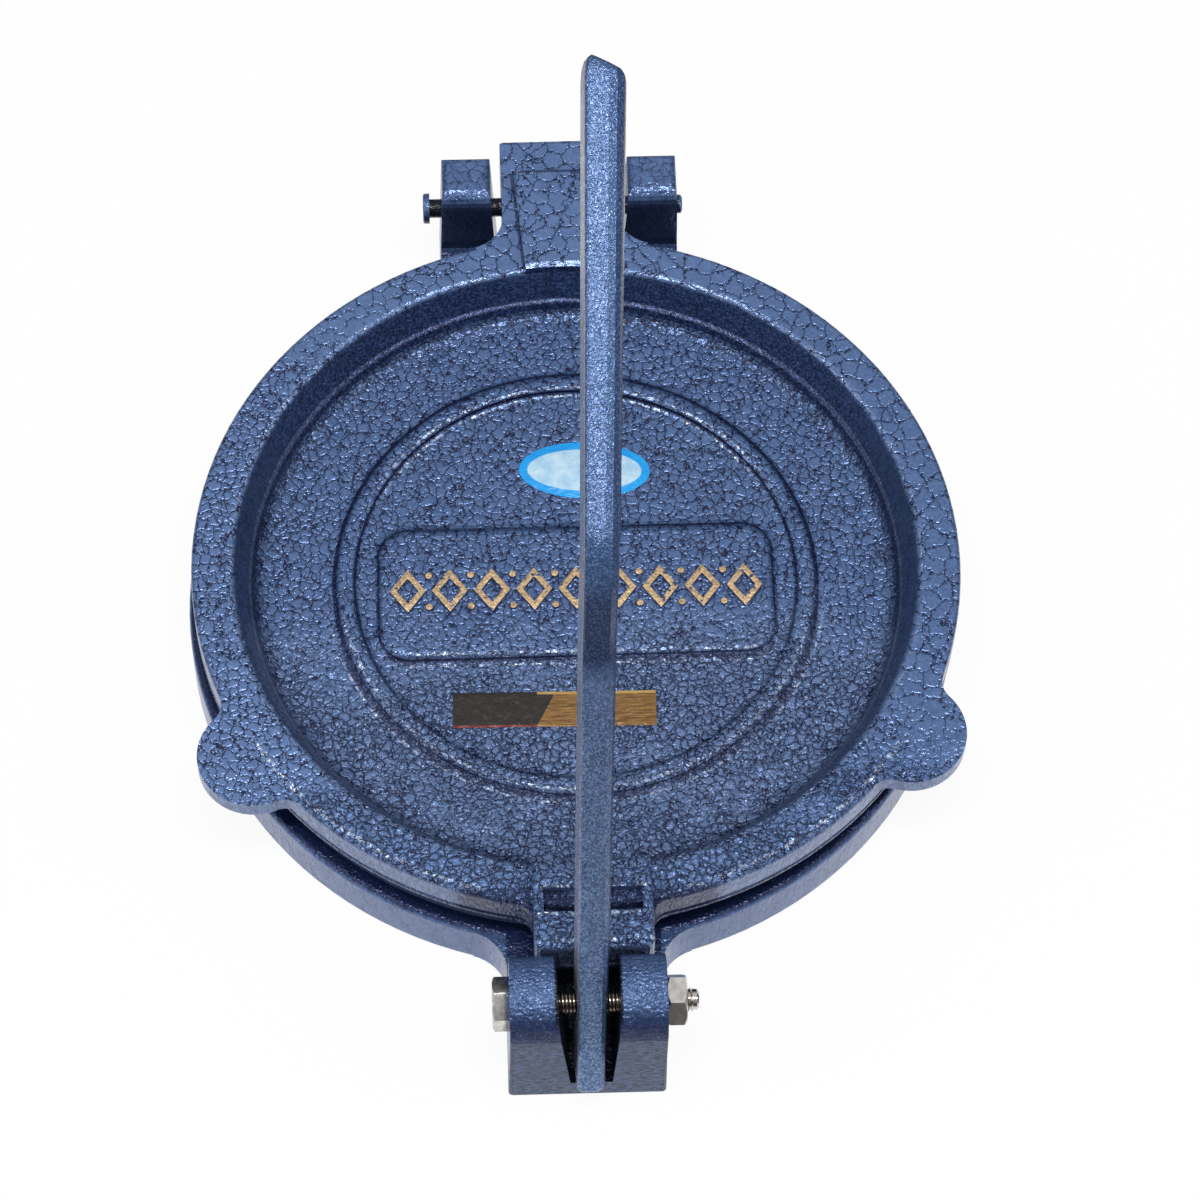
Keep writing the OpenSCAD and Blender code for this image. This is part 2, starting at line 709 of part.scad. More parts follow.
module lever_bolt() {
    shank_l = clevis_w + nut_h + bolt_end;
    color(plated)
        translate([-clevis_w / 2, bolt_y, bolt_z]) {
            translate([-bolt_head_h, 0, 0]) hex_prism(bolt_head_h, 0);
            rotate([0, 90, 0]) rotate_extrude($fn = 48)
                polygon([[0, -0.5], [bolt_d / 2, -0.5], [bolt_d / 2, shank_l - 0.7],
                         [bolt_d / 2 - 0.7, shank_l], [0, shank_l]]);
        }
}

module lever_nut() {
    color(plated)
        translate([clevis_w / 2, bolt_y, bolt_z])
            difference() {
                hex_prism(nut_h, 30);
                translate([-1, 0, 0]) rotate([0, 90, 0]) cylinder(r = bolt_bore_r, h = nut_h + 2, $fn = 48);
            }
}

base();
lid();
lever();
hinge_pin();
lever_bolt();
lever_nut();
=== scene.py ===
import math

import bpy
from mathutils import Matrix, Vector


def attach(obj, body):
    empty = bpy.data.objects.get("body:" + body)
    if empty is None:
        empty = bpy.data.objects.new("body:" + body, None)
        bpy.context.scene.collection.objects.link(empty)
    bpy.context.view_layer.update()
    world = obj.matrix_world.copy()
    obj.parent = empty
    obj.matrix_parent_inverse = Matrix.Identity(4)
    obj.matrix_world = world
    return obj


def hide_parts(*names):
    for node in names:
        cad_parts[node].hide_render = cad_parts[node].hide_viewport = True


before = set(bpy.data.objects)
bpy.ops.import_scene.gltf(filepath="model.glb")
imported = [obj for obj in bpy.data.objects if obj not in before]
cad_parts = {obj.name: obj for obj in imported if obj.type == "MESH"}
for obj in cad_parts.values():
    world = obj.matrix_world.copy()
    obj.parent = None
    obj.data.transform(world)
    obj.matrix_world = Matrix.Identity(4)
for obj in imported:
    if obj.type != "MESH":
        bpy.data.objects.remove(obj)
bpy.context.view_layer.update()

# ---------------------------------------------------------------- table and light
# A white table under a soft lamp overhead, with two weak side lamps. To the bright metal
# and the gloss of the paint, the room is light behind the press and dark in front of it.


class Wire:
    """One socket of a material, with arithmetic on what it carries."""

    def __init__(self, tree, socket=None):
        self.tree = tree
        self.socket = socket

    def node(self, kind, settings, sockets, out=0):
        """A node of that kind: its settings are made, then its sockets are set or linked."""
        made = self.tree.nodes.new("ShaderNode" + kind)
        for name, value in settings.items():
            setattr(made, name, value)
        for name, value in sockets.items():
            if isinstance(value, Wire):
                self.tree.links.new(value.socket, made.inputs[name])
            else:
                made.inputs[name].default_value = value
        return Wire(self.tree, made.outputs[out]) if made.outputs else None

    def sum(self, operation, *terms):
        return self.node("Math", {"operation": operation}, dict(enumerate(terms)))

    def __add__(self, other):
        return self.sum("ADD", self, other)

    def __sub__(self, other):
        return self.sum("SUBTRACT", self, other)

    def __rsub__(self, other):
        return self.sum("SUBTRACT", other, self)

    def __mul__(self, other):
        return self.sum("MULTIPLY", self, other)

    __radd__ = __add__
    __rmul__ = __mul__

    def step(self, low, high):
        """0 below low, 1 above high, and a smooth rise between them."""
        limits = {"Value": self, "From Min": low, "From Max": high}
        return self.node("MapRange", {"interpolation_type": "SMOOTHSTEP"}, limits)

    def ramp(self, low, high):
        """0 below low, 1 above high, and a straight rise between them."""
        return self.node("MapRange", {}, {"Value": self, "From Min": low, "From Max": high})

    def near(self, value, reach):
        """1 at value, falling to 0 at that distance from it."""
        return 1 - (self - value).size().step(reach * 0.4, reach)

    def larger(self, other):
        return self.sum("MAXIMUM", self, other)

    def size(self):
        return self.sum("ABSOLUTE", self)

    def part(self, axis):
        """The X, Y or Z of a vector."""
        return self.node("SeparateXYZ", {}, {"Vector": self}, axis)

    def vector(self, operation, *terms, out=0):
        sockets = dict(enumerate((self, *terms)))
        return self.node("VectorMath", {"operation": operation}, sockets, out)

    def noise(self, scale, detail=2.0):
        """Soft noise with scale lumps for each unit of this vector."""
        return self.node("TexNoise", {}, {"Vector": self, "Scale": scale, "Detail": detail})


def blank(made):
    """Turns on a material's or world's nodes, empties them and gives a Wire to build with."""
    made.use_nodes = True
    made.node_tree.nodes.clear()
    return Wire(made.node_tree)


def srgb(red, green, blue):
    """A colour of 0 to 255 levels as the renderer's linear values."""
    parts = [level / 255 for level in (red, green, blue)]
    return tuple(p / 12.92 if p < 0.04045 else ((p + 0.055) / 1.055) ** 2.4 for p in parts)


def blend(wire, amount, first, second):
    """The first colour where amount is 0, the second where it is 1."""
    ends = [c if isinstance(c, Wire) else (*c, 1) for c in (first, second)]
    sockets = {0: amount, 6: ends[0], 7: ends[1]}
    return wire.node("Mix", {"data_type": "RGBA"}, sockets, 2)


def deselect():
    bpy.ops.object.select_all(action="DESELECT")


SHOWN_WHITE = 0.93
SKY_LIGHT = 0.28
HORIZON = 0.03
SKY_ABOVE = 0.36
SKY_BEHIND = 0.38

sky = bpy.data.worlds.new("sky")
bpy.context.scene.world = sky
wire = blank(sky)
to_eye = wire.node("LightPath", {}, {}, "Is Camera Ray")
to_gloss = wire.node("LightPath", {}, {}, "Is Glossy Ray")
toward = wire.node("TexCoord", {}, {}, "Generated")
above = toward.part("Z").step(0.05, 0.85)
behind = toward.part("Y").step(-0.25, 0.45) * toward.part("Z").step(0.2, 0.8)
mirrored = above * SKY_ABOVE + behind * SKY_BEHIND + HORIZON
unseen = to_gloss * (mirrored - SKY_LIGHT) + SKY_LIGHT
strength = to_eye * (1 - unseen) + unseen
light = wire.node("Background", {}, {"Color": (1, 1, 1, 1), "Strength": strength})
wire.node("OutputWorld", {}, {"Surface": light})

TABLE_SIDE = 6
# To the paint's gloss the table is white near the press and dim further out, in metres.
NEAR_TABLE = 0.135
FAR_TABLE = 0.190
DIM_TABLE = (0.10, 0.10, 0.10)
WHITE = (1.0, 1.0, 1.0)

deselect()
bpy.ops.mesh.primitive_plane_add(size=TABLE_SIDE, location=(0, 0, 0))
table = bpy.context.object
table.name = "table"
white = bpy.data.materials.new("white_table")
wire = blank(white)
to_eye = wire.node("LightPath", {}, {}, "Is Camera Ray")
to_gloss = wire.node("LightPath", {}, {}, "Is Glossy Ray")
place = wire.node("TexCoord", {}, {}, "Object")
away = place.vector("MULTIPLY", (1.0, 0.8, 0.0)).vector("LENGTH", out="Value")
dimmed = away.step(NEAR_TABLE, FAR_TABLE) * (1 - to_eye)
shown = blend(wire, dimmed, WHITE, DIM_TABLE)
between_ears_dark = wire.node("BsdfDiffuse", {}, {"Color": (0.9, 0.9, 0.9, 1)})
bright = wire.node("Emission", {}, {"Color": shown, "Strength": 1.0})
mixed = wire.node("MixShader", {}, {0: to_eye.larger(to_gloss) * SHOWN_WHITE, 1: between_ears_dark, 2: bright})
wire.node("OutputMaterial", {}, {"Surface": mixed})
table.data.materials.append(white)

LAMPS_AIM = Vector((0, 0, 0.03))
# Each lamp: name, place, width, depth, watts.
LAMPS = (
    ("overhead", (0.0, -0.33, 1.60), 1.10, 0.28, 19.4),
    ("left", (-1.30, -0.30, 0.80), 0.80, 0.80, 5.0),
    ("right", (1.30, -0.20, 0.80), 0.80, 0.80, 4.0),
)
for name, spot, wide, deep, watts in LAMPS:
    bpy.ops.object.light_add(type="AREA", location=spot)
    lamp = bpy.context.object
    lamp.name = name
    lamp.data.shape = "RECTANGLE"
    lamp.data.size = wide
    lamp.data.size_y = deep
    lamp.data.energy = watts
    aim = LAMPS_AIM - lamp.location
    lamp.rotation_euler = aim.to_track_quat("-Z", "Y").to_euler()

CAMERA_AT = (-0.02935, -0.56806, 1.03871)
CAMERA_TURN = (28.9983, -0.9723, -1.9814)
LENS_MM = 130.95
SENSOR_MM = 36

bpy.ops.object.camera_add(location=CAMERA_AT)
camera = bpy.context.object
camera.rotation_euler = [math.radians(turn) for turn in CAMERA_TURN]
camera.data.sensor_width = SENSOR_MM
camera.data.lens = LENS_MM
bpy.context.scene.camera = camera
bpy.context.scene.view_settings.view_transform = "Standard"

# ---------------------------------------------------------------- base casting
# The lower plate of cast metal, one casting with its hinge lugs and clevis. It is sprayed
# with a glossy blue hammered paint that shrinks into small domed cells with dark veins.

PAINT_DARK = srgb(60, 84, 128)
PAINT_LIGHT = srgb(94, 121, 168)
VEIN = srgb(2, 10, 52)
# The pale grey is a painted reflection of the white table on outward walls. The first navy is painted
# shade on inward walls and at the foot of the pan's wall, and also the bare paint under worn gold.
WALL_REFLECTION_GREY = srgb(88, 108, 152)
INWARD_NAVY = srgb(26, 33, 60)
# Painted shade on the clevis ears where their curve faces forwards.
BROW_SHADE_NAVY = srgb(20, 33, 80)
# Painted shade on the flange's top under the lid.
UNDER_LID_SHADE_NAVY = srgb(14, 30, 72)
# Painted shade in the clevis's slot.
SLOT_SHADE_BLACK = srgb(10, 11, 16)
SLOT_HALF = (8.3, 8.6)
VEIN_HALF_MM = 0.22
DOME_MM = 0.7
METAL_SHARE = 0.4
PAINT_GLOSS = 0.22


def hammered(name, shift, zones, retouch, walls=1.0, paints=(PAINT_DARK, PAINT_LIGHT), grains=1.2):
    """The hammered paint. Each zone is a cell size in mm, how dark its veins are, the height
    in mm of its domes and of its fine grain, and a function that gives where it lies.
    retouch gives the paint's colour and the surface's height their local changes. walls is how strong
    the painted reflection of the white table is on the outward walls, pale grey, and the painted shade
    on the inward ones, dark navy, and how much smoother all walls are; paints the darkest and lightest
    blue, and grains the lumps of the fine grain for each mm."""
    made = bpy.data.materials.new(name)
    wire = blank(made)
    place = wire.node("TexCoord", {}, {}, "Object").vector("MULTIPLY", (1000, 1000, 1000))
    facing = wire.node("TexCoord", {}, {}, "Normal")
    spun = place.vector("MULTIPLY_ADD", (1, 1, 0.4), shift)
    wide_bend = wire.node("TexNoise", {}, {"Vector": spun, "Scale": 0.3, "Detail": 2.0}, "Color")
    fine_bend = wire.node("TexNoise", {}, {"Vector": spun, "Scale": 0.9, "Detail": 1.0}, "Color")
    bent = wide_bend.vector("MULTIPLY_ADD", (2.6, 2.6, 2.6), spun)
    bent = fine_bend.vector("MULTIPLY_ADD", (1.7, 1.7, 1.7), bent)
    patches = spun.noise(0.05)
    flat = facing.vector("MULTIPLY", (1, 1, 0))
    out = place.vector("MULTIPLY", (1, 1, 0)).vector("NORMALIZE")
    at = {
        "wire": wire,
        "place": place,
        "x": place.part("X"),
        "y": place.part("Y"),
        "z": place.part("Z"),
        "facing": facing,
        "patches": patches,
        "wall": 1 - facing.part("Z").size().step(0.25, 0.80),
        "outward": flat.vector("DOT_PRODUCT", out, out="Value"),
    }

    rim = veins = dome = grain = None
    for cell, dark, high, rough, where in zones:
        edge = {"Vector": bent, "Scale": 1 / cell, "Randomness": 1.0}
        found = wire.node("TexVoronoi", {"feature": "DISTANCE_TO_EDGE"}, edge) * cell
        if where is None:
            rim, veins, dome, grain = found, dark, high, rough
        else:
            here = where(at)
            rim = rim + here * (found - rim)
            veins = here * (dark - veins) + veins
            dome = here * (high - dome) + dome
            grain = here * (rough - grain) + grain

    smooth = 1 - at["wall"] * (0.7 * walls)
    gaps = spun.noise(0.5).step(0.26, 0.40)
    vein = (1 - rim.step(VEIN_HALF_MM * 0.25, VEIN_HALF_MM)) * gaps * veins * smooth
    fine = spun.noise(grains, 1.0)
    mottle = spun.noise(0.22, 3.0)
    tone = mottle * 0.9 + fine * 1.3 - 0.55
    paint = blend(wire, tone, *paints)
    # Painted reflection of the white table on outward walls, mixed with their own faint streaks, and
    # painted shade on inward walls.
    wall_reflection = at["wall"] * at["outward"].step(0.0, 0.6)
    wall_shade = at["wall"] * (0 - at["outward"]).step(0.1, 0.7)
    streaky = place.vector("MULTIPLY", (1.1, 1.1, 0.12)).noise(1.0, 3.0).step(0.3, 0.7)
    paint = blend(wire, wall_reflection * (streaky * 0.5 + 0.45) * walls, paint, WALL_REFLECTION_GREY)
    paint = blend(wire, wall_shade * (0.85 * walls), paint, INWARD_NAVY)
    height = rim.step(0.0, DOME_MM) * dome * smooth + fine * grain + mottle * 0.35
    paint, height = retouch(at, paint, height)
    paint = blend(wire, vein, paint, VEIN)
    bump = wire.node("Bump", {}, {"Height": height, "Strength": 1.0, "Distance": 0.001})
    finish = {
        "Base Color": paint,
        "Metallic": METAL_SHARE,
        "Roughness": vein * 0.35 + PAINT_GLOSS,
        "Normal": bump,
    }
    wire.node("OutputMaterial", {}, {"Surface": wire.node("BsdfPrincipled", {}, finish)})
    return made


def dress(node, finish):
    """Gives every slot of a solid that finish."""
    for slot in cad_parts[node].material_slots:
        slot.material = finish


def on_clevis(at):
    return (0 - at["y"]).step(103, 108)


def under_lid(at):
    """The flange's top, under the lid's overhang, which gets painted shade and calmer cells."""
    return at["z"].step(14.5, 15.2) * (1 - at["z"].step(17, 18)) * at["facing"].part("Z").step(0.6, 0.9)


def base_touches(at, paint, height):
    """The clevis's front is as cast, with level streaks. The ears' forward curve, the flange's top
    under the lid and the clevis's slot are darkened as painted shade.
    """
    wire = at["wire"]
    front = (0 - at["y"]).step(130, 134) * at["wall"]
    streaks = at["place"].vector("MULTIPLY", (0.5, 0.5, 2.4)).noise(1.0, 3.0)
    streaked = blend(wire, streaks.step(0.40, 0.60), srgb(6, 20, 56), srgb(60, 92, 144))
    paint = blend(wire, front * 0.95, paint, streaked)
    height = height + front * streaks * 0.9
    forward = 0 - at["facing"].part("Y")
    # Painted shade: the clevis ears darker where their curve turns forwards.
    brow_shade = on_clevis(at) * forward.step(0.45, 0.85) * (1 - forward.step(0.975, 0.995))
    paint = blend(wire, brow_shade * 0.75, paint, BROW_SHADE_NAVY)
    # Painted shade on the flange's top under the lid.
    paint = blend(wire, under_lid(at) * 0.92, paint, UNDER_LID_SHADE_NAVY)
    # Painted shade: the clevis's slot near black.
    slot_shade = (1 - at["x"].size().step(*SLOT_HALF)) * (0 - at["y"]).step(103, 105)
    slot_shade = slot_shade * (1 - forward.step(0.7, 0.9))
    return blend(wire, slot_shade * 0.93, paint, SLOT_SHADE_BLACK), height


base_zones = (
    (3.2, 0.7, 0.08, 0.13, None),
    (1.5, 0.35, 0.10, 0.65, on_clevis),
    (2.0, 0.5, 0.04, 0.20, under_lid),
)
dress("base", hammered("base_paint", (7, 3, 0), base_zones, base_touches))

# ---------------------------------------------------------------- hinge pin
# A nail-like steel pin through lugs and tongue. Its flat head is painted over with the base, and its
# shank is coloured near black.

SHANK_BLACK = srgb(30, 31, 36)
SHANK_X = (-36.1, -35.9, 33.2, 33.6)


def pin_touches(at, paint, height):
    head, start, end, peened = SHANK_X
    shank = at["x"].step(head, start) * (1 - at["x"].step(end, peened))
    return blend(at["wire"], shank, paint, SHANK_BLACK), height


dress("hinge_pin", hammered("pin_paint", (1, 9, 4), ((1.6, 0.4, 0.08, 0.2, None),), pin_touches))

# ---------------------------------------------------------------- lid casting
# The upper plate, one casting in the base's paint, which turns on the hinge pin. Its top has
# a shallow pan with a raised double ring and a name field on its floor, and round it stand
# two lifting tabs, the hinge tongue with its pad, and the grooved saddle for the lever.

# Marks left by the mould: place, radius and height in mm.
CAST_MARKS = (
    ((-36.2, 67.6, 23.4), 2.6, 0.5),
    ((-32.4, 71.1, 23.4), 2.0, 0.4),
    ((38.8, 64.2, 23.4), 1.5, 0.6),
    ((38.8, 64.2, 23.4), 0.9, -1.1),
    ((-93.4, -23.5, 35.8), 0.9, -0.6),
    ((-92.6, -26.4, 35.8), 0.8, -0.6),
    ((61.0, -42.0, 23.4), 1.2, -0.4),
    ((-36.0, -54.2, 23.4), 1.4, 0.4),
)

FLAT = (1, 1, 0)
# Places and sizes in mm. FIELD_STRAIGHT is half the name field without its round corners.
LID_MIDDLE = (1.1, 0, 0)
FIELD_MIDDLE = (1.1, -3.6, 23.4)
FIELD_STRAIGHT = (44.5, 11.5, 0)
FIELD_CORNER_R = 8
# The floor's marks fade in between the first two heights and out between the last two.
PAN_FLOOR_Z = (21.6, 22.4, 26.0, 28.0)
# Radii between which the rim's inner and outer edges are rounded.
PAN_MOUTH = (90.0, 92.0)
RIM_EDGE = (98.9, 100.6)
# A painted highlight blue.
HIGHLIGHT_BLUE = srgb(132, 152, 192)
# Painted glints along edges.
GLINT_WHITE = srgb(190, 204, 228)
# Painted shade on the ring's and field's steps and along their feet.
STEP_SHADE_NAVY = srgb(18, 28, 72)
# Painted light on the rim's top.
RIM_TOP_LIT_BLUE = srgb(116, 144, 194)
# Painted reflection on the rim's outward wall.
RIM_WALL_REFLECTION_BLUE = srgb(136, 154, 192)
# Painted shade in the saddle's groove.
GROOVE_SHADE_NAVY = srgb(20, 30, 70)


def from_middle(at):
    return at["place"].vector("MULTIPLY", FLAT).vector("LENGTH", out="Value")


def front_of_pan(at):
    """Small domed cells, from the name field forwards."""
    in_pan = 1 - from_middle(at).step(86, 89)
    return in_pan * (at["patches"] * 60 - at["y"]).step(38, 62)


def far_front(at):
    """Fine sparkling grain, in the foremost part of the pan and on the saddle."""
    return (at["patches"] * 70 - at["y"]).step(92, 108)


def rear_of_rim(at):
    """Large flat cells, on the rear and the right of the rim and on the tongue."""
    rim = from_middle(at).step(89, 92)
    return rim * (at["y"] + at["x"] * 0.8 + at["patches"] * 60).step(30, 75)


def lid_places(at):
    """Adds where on the lid a point is: reach is how far from its middle, field how far
    outside the name field's outline, and the others are 1 on their part of it."""
    low, floor, above, clear = PAN_FLOOR_Z
    at["on_floor"] = at["z"].step(low, floor) * (1 - at["z"].step(above, clear))
    at["on_top"] = at["z"].step(33, 35) * at["facing"].part("Z").step(0.4, 0.8)
    at["from_centre"] = at["place"].vector("SUBTRACT", LID_MIDDLE).vector("MULTIPLY", FLAT)
    at["reach"] = at["from_centre"].vector("LENGTH", out="Value")
    corner = at["place"].vector("SUBTRACT", FIELD_MIDDLE).vector("MULTIPLY", FLAT)
    corner = corner.vector("ABSOLUTE").vector("SUBTRACT", FIELD_STRAIGHT)
    beyond = corner.vector("MAXIMUM", (0, 0, 0)).vector("LENGTH", out="Value")
    at["field"] = beyond - FIELD_CORNER_R
    at["in_front"] = (0 - at["from_centre"].part("Y")).step(4, 26)
    at["field_front"] = (0 - at["y"]).step(20, 22.5)
    front_arc = (0 - at["y"]).step(24, 34) * at["x"].size().step(25, 27)
    at["front_arc"] = front_arc * (1 - at["x"].size().step(82, 85))


def mould_marks(at, height):
    """Pits and lumps, and one long scratch behind the name field."""
    for spot, radius, tall in CAST_MARKS:
        away = at["place"].vector("DISTANCE", spot, out="Value")
        height = height + (1 - away.step(0.0, radius)) * tall
    scratch = at["place"].vector("SUBTRACT", (-30.1, 19.3, 23.4)).vector("MULTIPLY", (0.16, 1, 0))
    bent = scratch.vector("LENGTH", out="Value")
    groove = (1 - bent.step(0.9, 1.9)) * at["patches"].step(0.2, 0.5)
    return height + groove * at["on_floor"] * 0.14


def rounded_steps(at, paint, height):
    """The ring's and the field's small walls, rounded wide and given painted shade, and the rise to the
    pan's wall.
    """
    reach, field, on_floor = at["reach"], at["field"], at["on_floor"]
    ring = reach.ramp(57.4, 60.4) - reach.ramp(62.2, 65.6)
    ring_wall = reach.ramp(58.2, 59.6) - reach.ramp(63.1, 64.9)
    raised = 1 - field.ramp(-1.9, 1.9)
    field_wall = 1 - field.ramp(-0.9, 0.9)
    # Painted shade on the small walls of the ring and the name field.
    steps = on_floor * at["wall"] * (1 - reach.step(66, 68))
    paint = blend(at["wire"], steps * 0.8, paint, STEP_SHADE_NAVY)
    foot_rise = reach.step(80.5, 87.5) * 1.3
    height = height + on_floor * (ring * 1.15 + ring_wall * 0.8 + raised * 1.35 + field_wall * 0.9)
    return paint, height + on_floor * foot_rise


def rim_and_edges(at, paint, height):
    """Painted light makes the rim's top paler, most at the front and left, and gives its outward wall a
    painted reflection; its edges are rounded.
    """
    forward = (0 - at["y"]).step(10, 60)
    # Painted light on the rim's top.
    rim_top_light = (forward * 0.16 + 0.20) * (1 - at["x"].step(20, 80) * 0.9)
    paint = blend(at["wire"], at["on_top"] * rim_top_light, paint, RIM_TOP_LIT_BLUE)
    # Painted reflection of the white table on the rim's outward wall.
    rim_wall_reflection = at["wall"] * at["outward"].step(0.0, 0.6) * at["reach"].step(97, 99)
    paint = blend(at["wire"], rim_wall_reflection * 0.35, paint, RIM_WALL_REFLECTION_BLUE)
    into_pan = 1 - at["reach"].ramp(*PAN_MOUTH)
    off_rim = at["front_arc"] * at["reach"].ramp(*RIM_EDGE)
    off_pad = (0 - at["y"]).ramp(95.6, 97.2) * at["z"].step(36.5, 37.5)
    return paint, height - at["on_top"] * (into_pan * 0.75 + off_rim * 0.56 + off_pad * 0.5)


def shaded_feet_and_lit_mouth(at, paint):
    """Painted shade in dark lines along the foot of each step, a painted highlight in a pale line round
    the pan's mouth, and painted shade in dark speckle along the foot of the pan's wall.
    """
    wire, reach, field, in_front = at["wire"], at["reach"], at["field"], at["in_front"]
    outer_foot = 1 - (reach - 64.2 - in_front * 0.5).size().step(0.4, in_front * 0.9 + 0.8)
    inner_foot = 1 - (reach - 58.9).size().step(0.15, 0.5)
    outline = (field - 0.1 - at["field_front"] * 0.6).size()
    field_foot = 1 - outline.step(0.2, at["field_front"] * 1.2 + 0.5)
    foot_shade = at["on_floor"] * outer_foot.larger(inner_foot).larger(field_foot)
    # Painted shade along the feet of the steps, widest at the front.
    paint = blend(wire, foot_shade * 0.85, paint, STEP_SHADE_NAVY)
    # Painted highlight: a broken pale line round the pan's mouth.
    mouth = reach.step(89.8, 90.8) * (1 - reach.step(91.4, 92.6)) * at["z"].step(33, 35)
    patchy = at["place"].noise(0.5).step(0.35, 0.6)
    paint = blend(wire, mouth * patchy * 0.5, paint, HIGHLIGHT_BLUE)
    # Dark speckle along the foot of the pan's wall: painted shade in that corner, broken by speckle.
    speckle = at["place"].noise(1.4, 3.0).step(0.38, 0.56)
    wall_foot_shade = at["on_floor"] * reach.step(80, 87) * speckle
    return blend(wire, wall_foot_shade * 0.85, paint, INWARD_NAVY)


def pad_shade_line(at, paint):
    """Painted shade: the thin dark line round the tongue's raised pad, which widens towards the back.
    """
    beside = at["x"].size() - (at["y"] - 90) * 0.09 - 9.6
    on_tongue = at["z"].step(35.2, 35.6) * (1 - at["z"].step(36.0, 36.4))
    side = beside.near(0.5, 0.8) * at["y"].step(89, 90) * (1 - at["y"].step(122.6, 123.4))
    back = at["y"].near(122.9, 0.8) * (1 - at["x"].size().step(12.6, 13.2))
    top_back = at["y"].near(121.8, 0.7) * (1 - at["x"].size().step(12.0, 12.4))
    shade_line = (on_tongue * side.larger(back)).larger(at["z"].step(37.2, 37.8) * top_back)
    return blend(at["wire"], shade_line * 0.7, paint, VEIN)


def shaded_rear_wall(at, paint, height):
    # Painted shade: the pan's rear wall darkened, over a speckle of its own with matching bumps.
    speckle = at["place"].noise(1.3, 3.0)
    in_pan = at["reach"].step(70, 75) * (1 - at["reach"].step(91, 92)) * at["z"].step(21.6, 22.4)
    rear_wall = at["wall"] * in_pan * at["y"].step(20, 60)
    dark = blend(at["wire"], speckle.step(0.42, 0.60), srgb(12, 24, 62), srgb(62, 84, 136))
    paint = blend(at["wire"], rear_wall * 0.85, paint, dark)
    return paint, height + rear_wall * speckle * 0.5


def painted_edge_glints(at, paint):
    """Painted glints: broken pale dashes along the ring's, the field's, the rim's and the saddle's
    edges.
    """
    reach, field = at["reach"], at["field"]
    back = at["from_centre"].part("Y").step(22, 40)
    ring = at["in_front"] * reach.near(62.5, 0.7).larger(reach.near(66.3, 0.45))
    ring = ring.larger(back * reach.near(60.1, 0.6).larger(reach.near(57.9, 0.5)))
    name_field = at["field_front"] * field.near(-1.2, 0.6).larger(field.near(2.0, 0.45))
    wear_and_glints = at["on_floor"] * ring.larger(name_field)
    wear_and_glints = wear_and_glints.larger(at["on_top"] * at["front_arc"] * reach.near(99.7, 0.9))
    along = 0 - at["y"]
    on_saddle = at["on_top"] * at["z"].step(36.4, 37.2)
    saddle = along.near(96.6, 0.6).larger(along.near(104.3, 0.5)).larger(along.near(111.6, 0.8))
    wear_and_glints = wear_and_glints.larger(on_saddle * saddle)
    dashes = at["place"].noise(0.7, 4.0).step(0.46, 0.60)
    return blend(at["wire"], wear_and_glints * dashes * 0.85, paint, GLINT_WHITE)


def lid_touches(at, paint, height):
    lid_places(at)
    height = mould_marks(at, height)
    paint, height = rounded_steps(at, paint, height)
    paint, height = rim_and_edges(at, paint, height)
    paint = shaded_feet_and_lit_mouth(at, paint)
    paint = pad_shade_line(at, paint)
    paint, height = shaded_rear_wall(at, paint, height)
    paint = painted_edge_glints(at, paint)
    # Painted highlight: the front of the pan a little paler, standing in for its glints.
    paint = blend(at["wire"], front_of_pan(at) * 0.25, paint, HIGHLIGHT_BLUE)
    # Painted shade in the saddle's groove.
    grooved = (0 - at["y"]).step(95, 97) * (1 - (0 - at["y"]).step(104, 106))
    low = grooved * (1 - at["z"].step(35.0, 37.0)) * at["z"].step(24, 26)
    return blend(at["wire"], low * 0.85, paint, GROOVE_SHADE_NAVY), height


lid_zones = (
    (2.6, 1.0, 0.16, 0.14, None),
    (2.2, 1.0, 0.36, 0.22, front_of_pan),
    (4.6, 1.0, 0.14, 0.12, rear_of_rim),
    (2.3, 1.0, 0.42, 0.36, far_front),
)
dress("lid", hammered("lid_paint", (0, 0, 0), lid_zones, lid_touches))

# ---------------------------------------------------------------- labels in the pan
# Two glossy stickers, left bare of words and signs: a small oval with a blue border, and a
# strip of brushed gold foil whose left part is printed black. They lie on the hammered paint.

LABEL_MM = 0.15
LABEL_EDGE_MM = 0.05
PAN_FLOOR_MM = 23.4


def metres(*sizes):
    """Sizes in mm as a tuple in metres."""
    return tuple(size / 1000 for size in sizes)


def keep_place(piece):
    """Puts the object's place, turn and size into its mesh."""
    deselect()
    piece.select_set(True)
    bpy.context.view_layer.objects.active = piece
    bpy.ops.object.transform_apply(location=True, rotation=True, scale=True)


def edge_round(piece, width, steps=2, angle=40):
    """Rounds the piece's sharp edges by a bevel of that width in mm."""
    bpy.context.view_layer.objects.active = piece
    bevel = piece.modifiers.new("edges", "BEVEL")
    bevel.width = width / 1000
    bevel.segments = steps
    bevel.limit_method = "ANGLE"
    bevel.angle_limit = math.radians(angle)
    bpy.ops.object.modifier_apply(modifier="edges")


def shade(piece, angle=35):
    deselect()
    piece.select_set(True)
    bpy.context.view_layer.objects.active = piece
    bpy.ops.object.shade_smooth_by_angle(angle=math.radians(angle))


